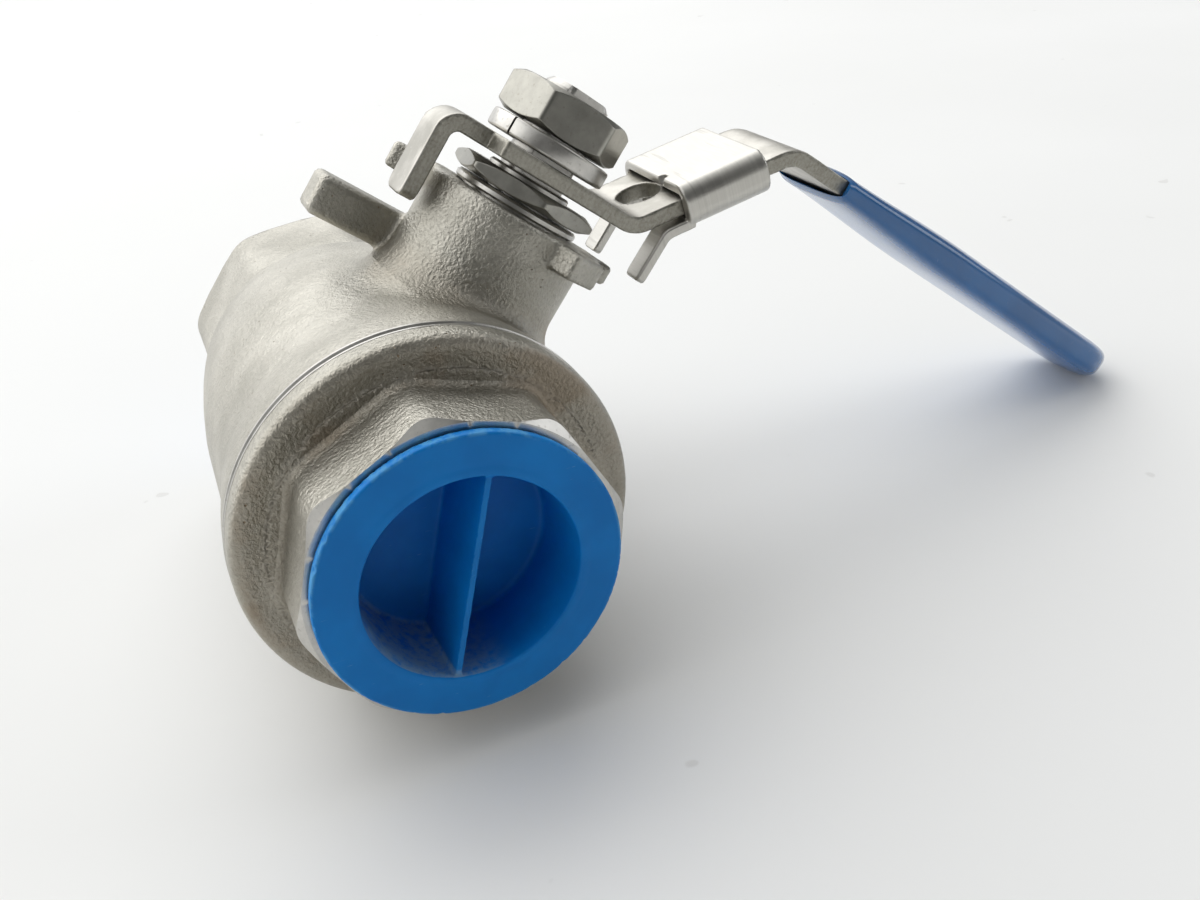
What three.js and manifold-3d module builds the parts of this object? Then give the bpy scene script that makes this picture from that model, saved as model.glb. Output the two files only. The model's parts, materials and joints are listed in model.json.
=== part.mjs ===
// A 1 inch two-piece ball valve with a lockable lever, closed, lying on a table.
//
// Every piece is first built in the valve's own frame, in millimetres: the origin is the ball's
// centre, +X points along the closed lever, +Y along the pipe away from the end cap, and +Z up
// the stem. The whole valve is then rolled about the pipe axis until its big flange and the tip
// of its grip both touch the table, with the origin under the middle of its bounding box.

import * as THREE from 'three';
import { mergeVertices } from 'three/addons/utils/BufferGeometryUtils.js';
import Module from 'manifold-3d';

const wasm = await Module();
wasm.setup();

// ---------------------------------------------------------------- driving dimensions (mm)
const GAP = 0.3; // left between pieces that touch
const FAR = 90; // reach of a cutter that runs right through
const BORE_R = 12.5; // full port
const THREAD_R = 15.45; // crests of the pipe thread
const OCTAGON_FLATS = 40; // across the wrench flats, both ends
const CHAMFER_R = 20.2; // turned chamfer that takes the octagon's corners off at the face
const CHAMFER_SLOPE = 0.87; // how much it grows for each mm back from the face

const CAP_FACE_Y = -41; // machined face of the end cap
const CAP_THREAD_END_Y = -24.5;
const REAR_FACE_Y = 49.5; // machined face of the body
const REAR_THREAD_END_Y = 33;
const THREAD_RUNOUT = 2.6; // the cone between a thread and the port
const JOINT_Y = -25.7; // where the end cap's flange meets the body
const FLANGE_R = 26.7;

const BALL_R = 19;
const CAVITY_R = 20.3; // bore that the ball is put in through
const SEAT_R = 17.5;
const SEAT_Y = [12.6, 17.4]; // a seat ring's two faces, measured from the ball's centre
const SPIGOT_R = 22.3; // the end cap's screwed spigot
const SPIGOT_END_Y = -16.1;
const SHOULDER_Y = -14.2; // step in the body that the gasket is squeezed against
const CHAMBER_END_Y = 12.3;

const NECK_R = 12.8;
const NECK_TOP_Z = 38.6;
const BOX_R = 8.6; // packing box in the neck
const BOX_FLOOR_Z = 26;
const PACKING_T = 1.7; // one of the three packing rings
const BUSH_BOTTOM_Z = 32.3;
const BUSH_FLANGE_R = 9.7;
const LUG = { x: [-24.6, -9], y: [5.6, 11.6], z: [23.8, 29.8] };

const STEM_R = 5;
const STEM_COLLAR = { r: 7, from: 19.6, to: 21.4 };
const STEM_TOP_Z = 57.5;
const STEM_FLATS = 7.4; // across the two flats that drive the lever
const STEM_FLATS_Z = 43.2; // where the flats begin

const LEVER_MID_Z = 45.4; // mid plane of the lever's plate
const LEVER_T = 2.5;
const LEVER_HALF_W = 8.7;
const HOOK_HALF_W = 3.3;
const HOOK_X = -15.95; // mid plane of the hook that meets the cast stops
const HOOK_END_Z = 32.8;
const HOOK_STEP_X = -9.4; // where the narrow hook strip widens into the plate
const RISE_X = 14.1; // first bend
const RISE_ANGLE = THREE.MathUtils.degToRad(51);
const RISE_LENGTH = 27.6;
const GRIP_ANGLE = THREE.MathUtils.degToRad(1.4);
const BEND_RADII = [2.5, 4.2, 5.2]; // mid line, from the hook to the grip
const STRIP_END = 114; // end of the steel inside the grip
const LOCK_HOLE_R = 3.5;
const LOCK_HOLE_AT = 5; // along the rise

const SLEEVE_START = 10.6; // along the grip, from the last bend
const SLEEVE_END = 90;
const SLEEVE_HALF_W = 10.2;
const SLEEVE_T = 6.8;
const SLEEVE_MOUTH_T = 4.9;
const SLEEVE_FULL_AT = 36; // along the grip, where the dip reaches its full thickness
const SLEEVE_DROP = 0.1; // its middle below the steel's

const SLIDER_FROM = 7.8; // along the rise
const SLIDER_TO = 21.8;
const SLIDER_HALF_W = 10.6;
const SLIDER_TOP = 3.45; // above the lever's mid plane
const SLIDER_BOTTOM = -3.35;
const SLIDER_CORNER_R = 2.6;
const PRONG_END_Z = 39;
const PRONG_Y = 7.85;
const PRONG_HALF_W = 1.95;
const PRONG_T = 1.5;

const NUT_FLATS = 17;
const NUT_Z = [50.3, 56.2];
const NUT_CORNER_DEG = 167.7;
const GLAND_FLATS = 20;
const GLAND_Z = [40.4, 42.9];
const GLAND_CORNER_DEG = 24;
const SPRING_R = 9.3;
const SPRING_TOP_Z = 49.95;
const SPRING_SPLIT_DEG = 196;

const PLUG_FLANGE_R = 19.5;
const PLUG_RECESS_R = 13.9;
const PLUG_BARREL_R = 15.1;
const PLUG_FLANGE_T = 1.5;
const PLUG_FLOOR_T = 1.6;
const PLUG_LENGTH = 13.6;
const PLUG_WEB_HALF = 0.6;
const FRONT_WEB_DEG = -23; // from the stem's direction, towards +X
const REAR_WEB_DEG = 31;

// ---------------------------------------------------------------- materials
const finish = (color, roughness, metalness) =>
  new THREE.MeshStandardMaterial({ color, roughness, metalness });
const castSteel = () => finish(0xb4b0a6, 0.55, 0.9);
const turnedSteel = () => finish(0xc4c2bb, 0.28, 1);
const rolledSteel = () => finish(0xb9b6ad, 0.38, 1);
const ptfe = () => finish(0xf2f1ec, 0.6, 0);
const bluePlug = () => finish(0x0869b6, 0.45, 0);
const blueVinyl = () => finish(0x2a6cab, 0.2, 0);

// ---------------------------------------------------------------- solids
// A closed three.js geometry as a solid that can be cut and joined.
function solid(geometry) {
  const bare = geometry.clone();
  bare.deleteAttribute('normal');
  bare.deleteAttribute('uv');
  const merged = mergeVertices(bare, 1e-4);
  return new wasm.Manifold(new wasm.Mesh({
    numProp: 3,
    vertProperties: Float32Array.from(merged.attributes.position.array),
    triVerts: Uint32Array.from(merged.index.array),
  }));
}

function geometryOf(body) {
  const { numProp, vertProperties, triVerts } = body.getMesh();
  const count = vertProperties.length / numProp;
  const position = new Float32Array(count * 3);
  for (let i = 0; i < count; i += 1) {
    position.set(vertProperties.subarray(i * numProp, i * numProp + 3), i * 3);
  }
  const geometry = new THREE.BufferGeometry();
  geometry.setAttribute('position', new THREE.BufferAttribute(position, 3));
  geometry.setIndex(new THREE.BufferAttribute(new Uint32Array(triVerts), 1));
  const loose = geometry.toNonIndexed();
  loose.computeVertexNormals();
  return loose;
}

const unite = (first, ...rest) => rest.reduce((sum, next) => sum.add(next), first);
const cut = (first, ...rest) => rest.reduce((left, next) => left.subtract(next), first);

// Turned about the pipe (Y). Points are [radius, y], up the outside and down the inside.
function turned(points, segments = 36) {
  const first = points[0];
  const last = points[points.length - 1];
  const closed = first[0] === 0 && last[0] === 0 ? points : [...points, first];
  return solid(new THREE.LatheGeometry(closed.map(([r, y]) => new THREE.Vector2(r, y)), segments));
}

const rod = (r, from, to, segments) =>
  turned([[0, from], [r, from], [r, to], [0, to]], segments);
const ring = (inner, outer, from, to, segments) =>
  turned([[inner, from], [outer, from], [outer, to], [inner, to]], segments);

// The same, stood on end about the stem (Z).
const upright = (body) => body.rotate([90, 0, 0]);
const post = (r, from, to, segments) => upright(rod(r, from, to, segments));
const collar = (inner, outer, from, to, segments) => upright(ring(inner, outer, from, to, segments));

function block(x, y, z) {
  const box = new THREE.BoxGeometry(x[1] - x[0], y[1] - y[0], z[1] - z[0]);
  box.translate((x[0] + x[1]) / 2, (y[0] + y[1]) / 2, (z[0] + z[1]) / 2);
  return solid(box);
}

function polygonShape(sides, acrossFlats, cornerAngle) {
  const r = acrossFlats / 2 / Math.cos(Math.PI / sides);
  const corners = Array.from({ length: sides }, (_, i) => {
    const a = cornerAngle + (i * 2 * Math.PI) / sides;
    return new THREE.Vector2(r * Math.cos(a), r * Math.sin(a));
  });
  return new THREE.Shape(corners);
}

// An outline in the X-Z plane pushed from y = -half to +half.
function sidewaysPrism(shape, half) {
  const prism = new THREE.ExtrudeGeometry(shape, { depth: 2 * half, bevelEnabled: false });
  prism.translate(0, 0, -half);
  prism.rotateX(Math.PI / 2);
  return solid(prism);
}

// ---------------------------------------------------------------- pipe ends
// The wrench octagon of one end: `face` is its outer end, `root` its inner one, and `corner` the
// angle of a corner from +X towards +Z.
function wrenchOctagon(face, root, corner) {
  const out = Math.sign(face);
  const low = Math.min(face, root);
  const prism = new THREE.ExtrudeGeometry(polygonShape(8, OCTAGON_FLATS, corner), {
    depth: Math.abs(face - root),
    bevelEnabled: false,
  });
  prism.rotateX(Math.PI / 2); // the outline's +Y becomes +Z
  prism.translate(0, low + Math.abs(face - root), 0);
  const rootR = CHAMFER_R + CHAMFER_SLOPE * Math.abs(face - root);
  const chamfer = [[0, root], [rootR, root], [CHAMFER_R, face], [0, face]];
  return solid(prism).intersect(turned(out > 0 ? chamfer : chamfer.reverse()));
}

// ---------------------------------------------------------------- body
function castStops() {
  const sector = (fromDeg, toDeg, outer, bottom) => {
    const from = THREE.MathUtils.degToRad(fromDeg);
    const to = THREE.MathUtils.degToRad(toDeg);
    const shape = new THREE.Shape();
    shape.absarc(0, 0, outer, from, to, false);
    shape.absarc(0, 0, NECK_R - 1.5, to, from, true);
    const prism = new THREE.ExtrudeGeometry(shape, {
      depth: NECK_TOP_Z - bottom,
      bevelEnabled: false,
      curveSegments: 5,
    });
    prism.translate(0, 0, bottom);
    return solid(prism);
  };
  return [
    sector(142, 157, 19.2, 34.8), // stops the hook with the lever closed
    sector(-75, -47, 16.6, 34.6), // stops the hook with the lever open
    sector(-17, 1, 17.3, 35.6), // the lock's prongs drop either side of this one
  ];
}

function makeBody() {
  const barrel = turned([
    [0, JOINT_Y + GAP / 2], [26.4, JOINT_Y + GAP / 2], [FLANGE_R, -25.1], [26.4, -21],
    [25.5, -15], [25.1, -9], [25, -2], [24.9, 6], [24.4, 13], [23.6, 20], [22.7, 26], [21.2, 28.2],
    [19.2, 30], [0, 30],
  ], 48);
  const neckFlare = upright(turned([[0, 12], [14.4, 12], [14.4, 23.6], [NECK_R, 27.4], [0, 27.4]]));
  const outside = unite(
    barrel,
    wrenchOctagon(REAR_FACE_Y, 24, Math.PI / 8),
    neckFlare,
    post(NECK_R, 12, NECK_TOP_Z),
    block(LUG.x, LUG.y, LUG.z),
    ...castStops(),
  );
  return cut(
    outside,
    rod(CAVITY_R, -FAR, CHAMBER_END_Y), // ball chamber, open towards the end cap
    rod(SPIGOT_R + GAP, -FAR, SHOULDER_Y), // female thread for the end cap
    rod(SEAT_R + GAP, 0, SEAT_Y[1] + GAP), // rear seat pocket
    rod(BORE_R, 0, FAR),
    turned([
      [0, REAR_THREAD_END_Y - THREAD_RUNOUT], [BORE_R, REAR_THREAD_END_Y - THREAD_RUNOUT],
      [THREAD_R, REAR_THREAD_END_Y], [THREAD_R, FAR], [0, FAR],
    ]),
    post(STEM_R + GAP, 0, FAR, 24),
    post(STEM_COLLAR.r + 0.7, 0, 23.6, 24), // room for the stem's collar and thrust washer
    post(BOX_R, BOX_FLOOR_Z, FAR, 24),
  );
}

function makeEndCap() {
  const flangeBack = JOINT_Y - GAP / 2;
  const outside = unite(
    turned([
      [0, -31], [21.2, -30.6], [22.4, -29.6], [24.6, -29.2], [26.2, -28.3], [FLANGE_R, -26.9],
      [26.6, flangeBack], [0, flangeBack],
    ], 48),
    wrenchOctagon(CAP_FACE_Y, -28, 0),
    rod(SPIGOT_R, -30, SPIGOT_END_Y),
  );
  return cut(
    outside,
    rod(BORE_R, -FAR, 0),
    rod(SEAT_R + GAP, -SEAT_Y[1] - GAP, 0), // front seat pocket
    turned([
      [0, -FAR], [THREAD_R, -FAR], [THREAD_R, CAP_THREAD_END_Y],
      [BORE_R, CAP_THREAD_END_Y + THREAD_RUNOUT], [0, CAP_THREAD_END_Y + THREAD_RUNOUT],
    ]),
  );
}

// ---------------------------------------------------------------- ball, seats and seals
function makeBall() {
  const sphere = new THREE.SphereGeometry(BALL_R, 36, 20);
  sphere.rotateX(Math.PI / 2);
  const port = rod(BORE_R, -30, 30).rotate([0, 0, 90]); // across the pipe while closed
  const slot = block([-3, 3], [-30, 30], [15.2, 30]);
  return cut(solid(sphere), port, slot);
}

function makeSeat(side) {
  const [near, far] = SEAT_Y;
  const seat = side > 0 ? ring(BORE_R + 0.1, SEAT_R, near, far) : ring(BORE_R + 0.1, SEAT_R, -far, -near);
  return cut(seat, solid(new THREE.SphereGeometry(BALL_R + GAP, 36, 20).rotateX(Math.PI / 2)));
}

function makeStem() {
  const { r, from, to } = STEM_COLLAR;
  const round = upright(turned([
    [0, from], [r, from], [r, to], [r - 0.6, to + 0.6], [STEM_R, to + 0.6],
    [STEM_R, STEM_TOP_Z - 0.8], [STEM_R - 0.7, STEM_TOP_Z], [0, STEM_TOP_Z],
  ], 24));
  const tang = block([-2.7, 2.7], [-5.6, 5.6], [15.6, 20]);
  const half = STEM_FLATS / 2;
  return cut(
    unite(round, tang),
    block([-20, 20], [half, 20], [STEM_FLATS_Z, 70]),
    block([-20, 20], [-20, -half], [STEM_FLATS_Z, 70]),
  );
}

// Counted up from the floor of the packing box.
function packingRing(place) {
  const bottom = BOX_FLOOR_Z + GAP + place * (PACKING_T + GAP);
  return collar(STEM_R + GAP, BOX_R - GAP, bottom, bottom + PACKING_T, 24);
}

// The gland pushes the packing down; its polished flange shows on top of the neck.
function makeGlandBush() {
  const top = GLAND_Z[0] - GAP;
  return upright(turned([
    [STEM_R + GAP, BUSH_BOTTOM_Z], [BOX_R - GAP, BUSH_BOTTOM_Z], [BOX_R - GAP, NECK_TOP_Z + GAP],
    [BUSH_FLANGE_R, NECK_TOP_Z + GAP], [BUSH_FLANGE_R, top - 0.4], [BUSH_FLANGE_R - 0.5, top],
    [STEM_R + GAP, top],
  ], 24));
}

// ---------------------------------------------------------------- nuts and washers
// A hexagon nut about the stem with both ends chamfered. The corner angle is from +X to +Y.
function hexNut(flats, [bottom, top], hole, cornerDeg, bevelled = 0.9) {
  const prism = new THREE.ExtrudeGeometry(
    polygonShape(6, flats, THREE.MathUtils.degToRad(cornerDeg)),
    { depth: top - bottom, bevelEnabled: false },
  );
  prism.translate(0, 0, bottom);
  const r = flats / 2;
  const wide = r + bevelled * Math.sqrt(3); // a 30 degree chamfer
  const round = upright(turned([
    [0, bottom], [r, bottom], [wide, bottom + bevelled], [wide, top - bevelled], [r, top], [0, top],
  ]));
  return cut(solid(prism).intersect(round), post(hole, 0, FAR, 24));
}

function makeGlandNut() {
  const hexagon = hexNut(GLAND_FLATS, GLAND_Z, STEM_R + GAP, GLAND_CORNER_DEG, 1.1);
  return unite(hexagon, collar(STEM_R + GAP, 6.4, GLAND_Z[1] - 0.4, GLAND_Z[1] + 0.8, 24));
}

function makeSpringWasher() {
  const split = block([3, 12], [-0.4, 0.4], [40, 60]).rotate([0, 0, SPRING_SPLIT_DEG]);
  return cut(collar(STEM_R + GAP, SPRING_R, LEVER_MID_Z + LEVER_T / 2 + GAP, SPRING_TOP_Z), split);
}

// ---------------------------------------------------------------- lever
// The outline of a strip bent in the X-Z plane. `corners` are the corners of its mid line and
// `radii` the mid-line radius at each inner corner.
function bentStrip(corners, radii, thickness) {
  const mid = [];
  const across = [];
  const point = ([x, z]) => new THREE.Vector2(x, z);
  const normalOf = (d) => new THREE.Vector2(-d.y, d.x);
  for (let i = 0; i < corners.length; i += 1) {
    const here = point(corners[i]);
    const before = i > 0 ? here.clone().sub(point(corners[i - 1])).normalize() : null;
    const after = i < corners.length - 1 ? point(corners[i + 1]).sub(here).normalize() : null;
    if (!before || !after) {
      mid.push(here);
      across.push(normalOf(after || before));
      continue;
    }
    const turn = Math.atan2(before.cross(after), before.dot(after));
    const radius = radii[i - 1];
    const reach = radius * Math.tan(Math.abs(turn) / 2);
    const start = here.clone().addScaledVector(before, -reach);
    const hub = start.clone().addScaledVector(normalOf(before), Math.sign(turn) * radius);
    const steps = Math.max(3, Math.round(Math.abs(turn) / 0.2));
    for (let k = 0; k <= steps; k += 1) {
      const normal = normalOf(before).rotateAround(new THREE.Vector2(), (turn * k) / steps);
      mid.push(hub.clone().addScaledVector(normal, -Math.sign(turn) * radius));
      across.push(normal);
    }
  }
  const edge = (side) => mid.map((p, i) => p.clone().addScaledVector(across[i], (side * thickness) / 2));
  return new THREE.Shape([...edge(-1), ...edge(1).reverse()]);
}

const riseTop = [
  RISE_X + RISE_LENGTH * Math.cos(RISE_ANGLE),
  LEVER_MID_Z + RISE_LENGTH * Math.sin(RISE_ANGLE),
];
const alongGrip = (s) => [
  riseTop[0] + s * Math.cos(GRIP_ANGLE),
  riseTop[1] + s * Math.sin(GRIP_ANGLE),
];

// Stands a solid built around the X axis (z = 0 at the strip's mid plane) on the rise or the grip.
const onRise = (body) => body.rotate([0, -THREE.MathUtils.radToDeg(RISE_ANGLE), 0])
  .translate([RISE_X, 0, LEVER_MID_Z]);
const onGrip = (body) => body.rotate([0, -THREE.MathUtils.radToDeg(GRIP_ANGLE), 0])
  .translate([riseTop[0], 0, riseTop[1]]);

function makeLever() {
  const stripEnd = alongGrip(STRIP_END - riseTop[0]);
  const side = bentStrip(
    [[HOOK_X, HOOK_END_Z], [HOOK_X, LEVER_MID_Z], [RISE_X, LEVER_MID_Z], riseTop, stripEnd],
    BEND_RADII,
    LEVER_T,
  );
  const outline = unite(
    block([-30, 0], [-HOOK_HALF_W, HOOK_HALF_W], [0, 99]),
    block([HOOK_STEP_X, 200], [-LEVER_HALF_W, LEVER_HALF_W], [0, 99]),
  );
  const drive = cut(
    post(STEM_R + GAP, 40, 50, 24),
    block([-9, 9], [STEM_FLATS / 2 + GAP, 9], [40, 50]),
    block([-9, 9], [-9, -STEM_FLATS / 2 - GAP], [40, 50]),
  );
  const lockHole = onRise(post(LOCK_HOLE_R, -4, 4, 24).translate([LOCK_HOLE_AT, 0, 0]));
  return cut(sidewaysPrism(side, 12).intersect(outline), drive, lockHole);
}

function makeGripSleeve() {
  const r = SLEEVE_HALF_W;
  const inset = 2.8; // the outline is drawn inside the rounded edge and grown by its bevel
  const bevel = { bevelEnabled: true, bevelSize: inset, bevelThickness: inset, bevelSegments: 4 };
  const plan = new THREE.Shape();
  plan.moveTo(SLEEVE_START + inset - 0.4, -(r - inset));
  plan.lineTo(SLEEVE_END - r, -(r - inset));
  plan.absarc(SLEEVE_END - r, 0, r - inset, -Math.PI / 2, Math.PI / 2, false);
  plan.lineTo(SLEEVE_START + inset - 0.4, r - inset);
  const pad = new THREE.ExtrudeGeometry(plan, {
    depth: SLEEVE_T - 2 * inset,
    curveSegments: 10,
    ...bevel,
  });
  pad.translate(0, 0, inset - SLEEVE_T / 2);
  const side = new THREE.Shape([
    new THREE.Vector2(SLEEVE_START, -SLEEVE_MOUTH_T / 2),
    new THREE.Vector2(SLEEVE_FULL_AT, -SLEEVE_T / 2),
    new THREE.Vector2(SLEEVE_END, -SLEEVE_T / 2),
    new THREE.Vector2(SLEEVE_END, SLEEVE_T / 2),
    new THREE.Vector2(SLEEVE_FULL_AT, SLEEVE_T / 2),
    new THREE.Vector2(SLEEVE_START, SLEEVE_MOUTH_T / 2),
  ]);
  const dip = solid(pad).intersect(sidewaysPrism(side, 2 * r)).translate([0, 0, -SLEEVE_DROP]);
  const room = LEVER_T / 2 + GAP;
  const pocketEnd = STRIP_END - riseTop[0] + 2 * GAP;
  const pocket = block([0, pocketEnd], [-LEVER_HALF_W - GAP, LEVER_HALF_W + GAP], [-room, room]);
  return onGrip(cut(dip, pocket));
}

// A folded sleeve that slides on the rise, with two prongs that drop past the cast stop.
function makeLockSlider() {
  const r = SLIDER_CORNER_R;
  const side = SLIDER_HALF_W - r;
  const wall = new THREE.Shape();
  wall.absarc(side, SLIDER_TOP - r, r, 0, Math.PI / 2, false);
  wall.absarc(-side, SLIDER_TOP - r, r, Math.PI / 2, Math.PI, false);
  wall.absarc(-side, SLIDER_BOTTOM + r, r, Math.PI, Math.PI * 1.5, false);
  wall.absarc(side, SLIDER_BOTTOM + r, r, Math.PI * 1.5, Math.PI * 2, false);
  const tube = new THREE.ExtrudeGeometry(wall, {
    depth: SLIDER_TO - SLIDER_FROM,
    bevelEnabled: false,
    curveSegments: 5,
  });
  tube.rotateX(Math.PI / 2); // the section's +Y becomes +Z
  tube.rotateZ(Math.PI / 2); // and its depth runs along +X
  tube.translate(SLIDER_FROM, 0, 0);
  const room = LEVER_T / 2 + 0.6;
  const slot = block([0, 40], [-LEVER_HALF_W - GAP, LEVER_HALF_W + GAP], [-room, room]);
  const tailMid = SLIDER_BOTTOM + PRONG_T / 2;
  const start = [
    RISE_X + (SLIDER_FROM + 1) * Math.cos(RISE_ANGLE) - tailMid * Math.sin(RISE_ANGLE),
    LEVER_MID_Z + (SLIDER_FROM + 1) * Math.sin(RISE_ANGLE) + tailMid * Math.cos(RISE_ANGLE),
  ];
  const prongX = start[0] - 2.9;
  const bendZ = start[1] - 2.9 * Math.tan(RISE_ANGLE);
  const tail = bentStrip([start, [prongX, bendZ], [prongX, PRONG_END_Z]], [2.2], PRONG_T);
  const prong = (y) => sidewaysPrism(tail, PRONG_HALF_W).translate([0, y, 0]);
  return unite(cut(onRise(solid(tube)), onRise(slot)), prong(-PRONG_Y), prong(PRONG_Y));
}

// ---------------------------------------------------------------- thread plugs
// A push-in protector: flange, barrel, blind floor, and one thin web across the recess.
function makePlug(face, out, webDeg) {
  const y = (depth) => face + out * (PLUG_FLANGE_T + GAP - depth);
  const floorY = y(PLUG_LENGTH - PLUG_FLOOR_T);
  const profile = [
    [0, floorY], [PLUG_RECESS_R, floorY], [PLUG_RECESS_R, y(0)],
    [PLUG_FLANGE_R - 0.3, y(0)], [PLUG_FLANGE_R, y(0.4)], [PLUG_FLANGE_R, y(PLUG_FLANGE_T)],
    [PLUG_BARREL_R, y(PLUG_FLANGE_T)], [PLUG_BARREL_R, y(PLUG_LENGTH)], [0, y(PLUG_LENGTH)],
  ];
  const shell = turned(out > 0 ? profile.reverse() : profile);
  const span = [y(PLUG_LENGTH - PLUG_FLOOR_T / 2), y(0.4)].sort((a, b) => a - b);
  const reach = PLUG_RECESS_R + 0.5;
  const web = block([-PLUG_WEB_HALF, PLUG_WEB_HALF], span, [-reach, reach]);
  return shell.add(web.rotate([0, webDeg, 0]));
}

// ---------------------------------------------------------------- assembly
const valve = new THREE.Group();

function addPiece(name, body, material) {
  const mesh = new THREE.Mesh(geometryOf(body), material);
  mesh.name = name;
  valve.add(mesh);
}

addPiece('body', makeBody(), castSteel());
addPiece('end_cap', makeEndCap(), castSteel());
addPiece('body_gasket', ring(CAVITY_R + 0.2, SPIGOT_R, SPIGOT_END_Y + GAP, SHOULDER_Y - GAP), ptfe());
addPiece('seat_ring_front', makeSeat(-1), ptfe());
addPiece('seat_ring_rear', makeSeat(1), ptfe());
addPiece('ball', makeBall(), turnedSteel());
addPiece('stem', makeStem(), turnedSteel());
addPiece('thrust_washer', collar(STEM_R + GAP, 7.4, 22.3, 23.3, 24), ptfe());
addPiece('packing_ring_lower', packingRing(0), ptfe());
addPiece('packing_ring_middle', packingRing(1), ptfe());
addPiece('packing_ring_upper', packingRing(2), ptfe());
addPiece('gland_bush', makeGlandBush(), turnedSteel());
addPiece('gland_nut', makeGlandNut(), turnedSteel());
addPiece('lever', makeLever(), rolledSteel());
addPiece('grip_sleeve', makeGripSleeve(), blueVinyl());
addPiece('lock_slider', makeLockSlider(), rolledSteel());
addPiece('spring_washer', makeSpringWasher(), turnedSteel());
addPiece('handle_nut', hexNut(NUT_FLATS, NUT_Z, STEM_R + GAP, NUT_CORNER_DEG), turnedSteel());
addPiece('thread_plug_front', makePlug(CAP_FACE_Y, -1, FRONT_WEB_DEG), bluePlug());
addPiece('thread_plug_rear', makePlug(REAR_FACE_Y, 1, REAR_WEB_DEG), bluePlug());

// How low a piece comes when the valve is rolled by `angle` about the pipe.
function lowest(name, angle) {
  const points = valve.getObjectByName(name).geometry.attributes.position;
  let low = Infinity;
  for (let i = 0; i < points.count; i += 1) {
    low = Math.min(low, points.getZ(i) * Math.cos(angle) - points.getX(i) * Math.sin(angle));
  }
  return low;
}

// Rolls the valve until the grip is as low as the flange, then sets it on z = 0.
let rollFrom = THREE.MathUtils.degToRad(30);
let rollTo = THREE.MathUtils.degToRad(50);
for (let step = 0; step < 40; step += 1) {
  const middle = (rollFrom + rollTo) / 2;
  if (lowest('grip_sleeve', middle) > lowest('end_cap', middle)) rollFrom = middle;
  else rollTo = middle;
}
valve.rotation.y = (rollFrom + rollTo) / 2;

const group = new THREE.Group();
group.add(valve);
group.updateMatrixWorld(true);
const bounds = new THREE.Box3().setFromObject(group, true);
valve.position.set(
  -(bounds.min.x + bounds.max.x) / 2,
  -(bounds.min.y + bounds.max.y) / 2,
  -bounds.min.z,
);
group.updateMatrixWorld(true);

export default group;
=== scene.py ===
import json
import math

import bmesh
import bpy
import numpy as np
from mathutils import Matrix, Vector


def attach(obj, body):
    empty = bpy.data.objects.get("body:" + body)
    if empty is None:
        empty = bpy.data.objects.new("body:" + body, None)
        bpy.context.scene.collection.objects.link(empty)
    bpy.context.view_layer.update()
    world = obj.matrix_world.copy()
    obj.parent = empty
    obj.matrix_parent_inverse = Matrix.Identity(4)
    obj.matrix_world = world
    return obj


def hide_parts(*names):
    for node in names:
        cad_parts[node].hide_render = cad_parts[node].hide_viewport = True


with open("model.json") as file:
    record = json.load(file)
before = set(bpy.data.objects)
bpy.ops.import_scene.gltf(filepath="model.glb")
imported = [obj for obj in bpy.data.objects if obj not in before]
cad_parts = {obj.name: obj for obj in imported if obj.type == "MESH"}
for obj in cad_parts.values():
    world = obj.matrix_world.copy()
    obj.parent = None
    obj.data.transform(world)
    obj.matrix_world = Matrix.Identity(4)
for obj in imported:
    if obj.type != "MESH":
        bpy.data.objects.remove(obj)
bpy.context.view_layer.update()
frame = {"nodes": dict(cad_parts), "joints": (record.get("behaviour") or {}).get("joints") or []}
print("frame loaded:", len(frame["nodes"]), "nodes")

# The valve's own directions and middle, from its joints: +x along the closed lever, +y along the
# pipe, +z up the stem, from the ball's centre. Shapes below are in millimetres in these directions.
joints = {joint["name"]: joint for joint in frame["joints"]}
stemDir = Vector(joints["lever_turn"]["axis"]).normalized()
pipeDir = Vector((0, 1, 0))
leverDir = pipeDir.cross(stemDir)
toRow = Matrix.Translation(Vector(joints["ball_turn"]["pos_m"])) @ Matrix(
    [[leverDir[i] / 1000, pipeDir[i] / 1000, stemDir[i] / 1000, 0] for i in range(3)] + [[0, 0, 0, 1]])


riseAngle = math.radians(51)  # slope of the lever's rise, which the lock slides along


def valvePoint(x, y, z):
    return toRow @ Vector((x, y, z))


# Node trees are written as sums: a Wire holds one socket, and a Graph adds the nodes.
class Wire:
    def __init__(self, graph, socket):
        self.graph, self.socket = graph, socket

    def __add__(self, other):
        return self.graph.math("ADD", self, other)

    def __sub__(self, other):
        return self.graph.math("SUBTRACT", self, other)

    def __rsub__(self, other):
        return self.graph.math("SUBTRACT", other, self)

    def __mul__(self, other):
        return self.graph.math("MULTIPLY", self, other)

    def __truediv__(self, other):
        return self.graph.math("DIVIDE", self, other)

    def __rtruediv__(self, other):
        return self.graph.math("DIVIDE", other, self)

    def __pow__(self, other):
        return self.graph.math("POWER", self, other)

    __radd__, __rmul__ = __add__, __mul__


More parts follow.
